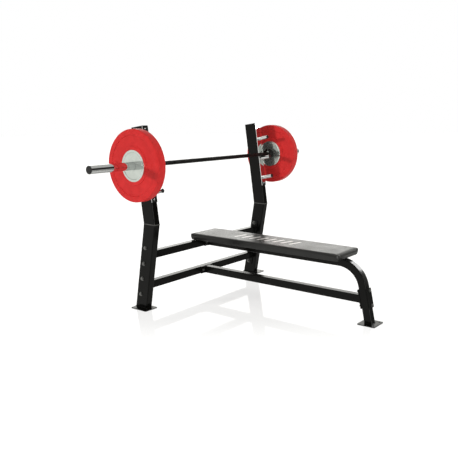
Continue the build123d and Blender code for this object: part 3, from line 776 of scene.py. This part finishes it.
def staple(x, y, z, across):
    """One staple crown, bowed down a little, along X or Y."""
    length, width, rise = 11 * MM, 1.3 * MM, 0.55 * MM
    direction = Vector((1, 0, 0)) if across else Vector((0, 1, 0))
    sideways = Vector((-direction.y, direction.x, 0))
    centre = Vector((x, y, z))
    stations = ((-0.5, 0.3), (-0.47, -0.8), (-0.3, -1.0), (0.3, -1.0), (0.47, -0.8), (0.5, 0.3))
    section = ((-0.5, 0.35), (-0.3, 0.0), (0.3, 0.0), (0.5, 0.35), (0.3, 0.8), (-0.3, 0.8))
    vertices = []
    for along, depth in stations:
        for side, lift in section:
            level = Vector((0, 0, (depth + lift) * rise))
            vertices.append(tuple(centre + direction * along * length + sideways * side * width + level))
    count = len(section)
    faces = ring_faces(len(stations), count, closed=False)
    faces += [tuple(range(count - 1, -1, -1)), tuple(range(len(vertices) - count, len(vertices)))]
    return vertices, faces


def pad_staples():
    low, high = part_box("pad_cushion")
    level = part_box("pad_board")[0].z - HEM_GAP - VINYL
    shapes = []
    for start, end, fixed, across in (
        (low.x, high.x, (low.y + STAPLE_INSET, high.y - STAPLE_INSET), True),
        (low.y, high.y, (low.x + STAPLE_INSET, high.x - STAPLE_INSET), False),
    ):
        count = int((end - start - 3 * STAPLE_INSET) / STAPLE_PITCH)
        for number in range(count + 1):
            along = (start + end) / 2 + (number - count / 2) * STAPLE_PITCH
            for other in fixed:
                spot = (along, other) if across else (other, along)
                shapes.append(staple(*spot, level, across))
    piece(make_object("pad_staples", *joined(*shapes)), "bench", "zinc_steel")


# --- welds between tubes and plates

def end_outline(node_name, normal):
    """Rounded outline of the end of a tube that faces along normal, as points in the row frame."""
    normal = Vector(normal).normalized()
    points = [vertex.co for vertex in NODES[node_name].data.vertices]
    reach = max(point.dot(normal) for point in points)
    end = [point for point in points if reach - point.dot(normal) < 0.1 * MM]
    across = Vector((1, 0, 0)) if abs(normal.x) < 0.5 else Vector((0, 1, 0))
    up = normal.cross(across).normalized()
    a_values = [point.dot(across) for point in end]
    b_values = [point.dot(up) for point in end]
    a_low, a_high = min(a_values), max(a_values)
    b_low, b_high = min(b_values), max(b_values)
    corners = [(a_low, b_low), (a_high, b_low), (a_high, b_high), (a_low, b_high)]
    outline = rounded_outline([(a, b, TUBE_CORNER) for a, b in corners])
    return [across * a + up * b + normal * reach for a, b in outline], normal


def walked(points, step):
    """A closed line of points cut into even steps."""
    spots = []
    carried = 0.0
    for index, start in enumerate(points):
        leg = points[(index + 1) % len(points)] - start
        while carried < leg.length:
            spots.append(start + leg * (carried / leg.length))
            carried += step
        carried -= leg.length
    return spots


def weld(points, normal):
    """A rippled bead along a closed line on a plate's face."""
    spots = walked(points, WELD_STEP)
    count = len(spots)
    vertices = []
    for index, spot in enumerate(spots):
        tangent = (spots[(index + 1) % count] - spots[index - 1]).normalized()
        outward = tangent.cross(normal).normalized()
        ripple = 1 + WELD_RIPPLE * math.cos(2 * math.pi * index / 3) + WELD_WANDER * math.sin(0.31 * index)
        for side in range(WELD_SIDES):
            angle = 2 * math.pi * side / WELD_SIDES
            offset = outward * math.cos(angle) + normal * math.sin(angle)
            vertices.append(tuple(spot + offset * WELD_R * ripple))
    return vertices, ring_faces(count, WELD_SIDES)


def frame_welds():
    """Beads where the tubes meet their foot plates and flanges."""
    low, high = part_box("spine_front_flange")
    lean = (high.y - low.y - FLANGE_THICKNESS) / (high.z - low.z)
    ends = [(name, (0, 0, -1)) for name in ("left_upright_lower", "right_upright_lower", "seat_beam_leg")]
    ends += [(f"{level}_crossbar", (side, 0, 0)) for level in ("upper", "lower") for side in SIDES.values()]
    ends += [("seat_beam_leg", (0, 1, 0)), ("spine_tube", (0, 1, 0)), ("spine_tube", (0, -1, lean))]
    beads = [weld(*end_outline(*end)) for end in ends]
    piece(make_object("frame_welds", *joined(*beads), smooth_angle=80.0), "bench", "black_paint")


# --- studio

def floor():
    """Glossy white floor that reads as plain white and mirrors the frame faintly."""
    bpy.ops.mesh.primitive_circle_add(vertices=128, radius=FLOOR_R, fill_type="NGON", location=(0, 0, 0))
    ground = bpy.context.object
    ground.name = "studio_floor"
    material = bpy.data.materials.new("studio_floor")
    material.use_nodes = True
    tree = material.node_tree
    tree.nodes.clear()
    diffuse = node(tree, "ShaderNodeBsdfDiffuse", {"Color": grey(FLOOR_GREY)})
    fade = eased(tree, dot(tree, coordinates(tree), LEVEL_VIEW), *FLOOR_FADE)
    mirror = calc(tree, "MULTIPLY", fade, FLOOR_MIRROR)
    gloss = node(tree, "ShaderNodeBsdfGlossy", {"Color": mirror, "Roughness": FLOOR_MIRROR_ROUGHNESS})
    strength = calc(tree, "MULTIPLY_ADD", fade, -FLOOR_GLOW_DROP, FLOOR_GLOW)
    glow = node(tree, "ShaderNodeEmission", {"Color": grey(1.0), "Strength": strength})
    first = node(tree, "ShaderNodeAddShader", {0: diffuse.outputs[0], 1: glow.outputs[0]})
    both = node(tree, "ShaderNodeAddShader", {0: first.outputs[0], 1: gloss.outputs[0]})
    node(tree, "ShaderNodeOutputMaterial", {"Surface": both.outputs[0]})
    ground.data.materials.append(material)
    ground.visible_glossy = False


def sky_ramp(tree, height, stops):
    """Grey levels against the sine of the elevation, as shares of the span because a ramp stops at 1."""
    return ramp(tree, height, [((sine + 1) / 2, warm_grey(level / SKY_SPAN)) for sine, level in stops])


def world():
    """White to the camera; to the object, a bright backdrop behind it and a dark room in front."""
    made = bpy.data.worlds.new("studio")
    bpy.context.scene.world = made
    made.use_nodes = True
    tree = made.node_tree
    tree.nodes.clear()
    direction = node(tree, "ShaderNodeTexCoord").outputs["Generated"]
    sine = node(tree, "ShaderNodeSeparateXYZ", {"Vector": direction}).outputs["Z"]
    height = calc(tree, "MULTIPLY_ADD", sine, 0.5, 0.5)
    behind = eased(tree, dot(tree, direction, LEVEL_VIEW), *BACK_FADE)
    colour = mixed(tree, behind, sky_ramp(tree, height, FRONT_LEVELS), sky_ramp(tree, height, BACK_LEVELS))
    for towards, level, fades_in, full in PANELS:
        panel = eased(tree, dot(tree, direction, towards.normalized()), fades_in, full)
        colour = mixed(tree, panel, colour, warm_grey(level / SKY_SPAN))
    studio = node(tree, "ShaderNodeBackground", {"Color": colour, "Strength": SKY_SPAN})
    white = node(tree, "ShaderNodeBackground", {"Color": grey(1.0), "Strength": 1.0})
    to_camera = node(tree, "ShaderNodeLightPath").outputs["Is Camera Ray"]
    both = node(tree, "ShaderNodeMixShader", {0: to_camera, 1: studio.outputs[0], 2: white.outputs[0]})
    node(tree, "ShaderNodeOutputWorld", {"Surface": both.outputs[0]})


def soft_box_receivers():
    """Collection of the only pieces that the soft box lights; on the others it would glare from behind."""
    receivers = bpy.data.collections.new("soft_box_receivers")
    for name in SOFT_BOX_RECEIVERS:
        receivers.objects.link(NODES[name])
    return receivers


def lamp(name, kind, **settings):
    """A new light in the scene."""
    light = bpy.data.lights.new(name, kind)
    for key, value in settings.items():
        setattr(light, key, value)
    made = bpy.data.objects.new(name, light)
    bpy.context.scene.collection.objects.link(made)
    return made


def lights():
    """A low key from the back left, whose shadows fall on the plates, and a soft box at the right."""
    key = lamp("key", "SUN", energy=KEY_STRENGTH, angle=math.radians(KEY_WIDTH))
    key.visible_glossy = False
    key.rotation_euler = KEY_FROM.to_track_quat("Z", "Y").to_euler()
    width, height = SOFT_BOX_SIZE
    soft_box = lamp("soft_box", "AREA", shape="RECTANGLE", size=width, size_y=height, energy=SOFT_BOX_WATTS)
    soft_box.location = SOFT_BOX_AT
    soft_box.rotation_euler = (math.radians(90), 0, math.radians(90))
    soft_box.visible_camera = False
    soft_box.light_linking.receiver_collection = soft_box_receivers()


def camera():
    yaw, pitch, roll = map(math.radians, (CAMERA_YAW, CAMERA_PITCH, CAMERA_ROLL))
    forward = Vector((math.sin(yaw) * math.cos(pitch), math.cos(yaw) * math.cos(pitch), -math.sin(pitch)))
    right = Vector((math.cos(yaw), -math.sin(yaw), 0))
    up = right.cross(forward)
    side = right * math.cos(roll) + up * math.sin(roll)
    top = up * math.cos(roll) - right * math.sin(roll)
    data = bpy.data.cameras.new("camera")
    data.lens = CAMERA_LENS
    data.sensor_width = SENSOR_WIDTH
    data.clip_end = CLIP_END
    made = bpy.data.objects.new("camera", data)
    made.matrix_world = Matrix.Translation(CAMERA_AT) @ Matrix((side, top, -forward)).transposed().to_4x4()
    bpy.context.scene.collection.objects.link(made)
    bpy.context.scene.camera = made


dress_nodes()
for plate_name, plate_side in SIDES.items():
    bumper_plate(plate_name, plate_side)
    plate_hub(plate_name, plate_side)
pad_cover()
pad_staples()
frame_welds()
floor()
world()
lights()
camera()
bpy.context.scene.view_settings.view_transform = "Standard"
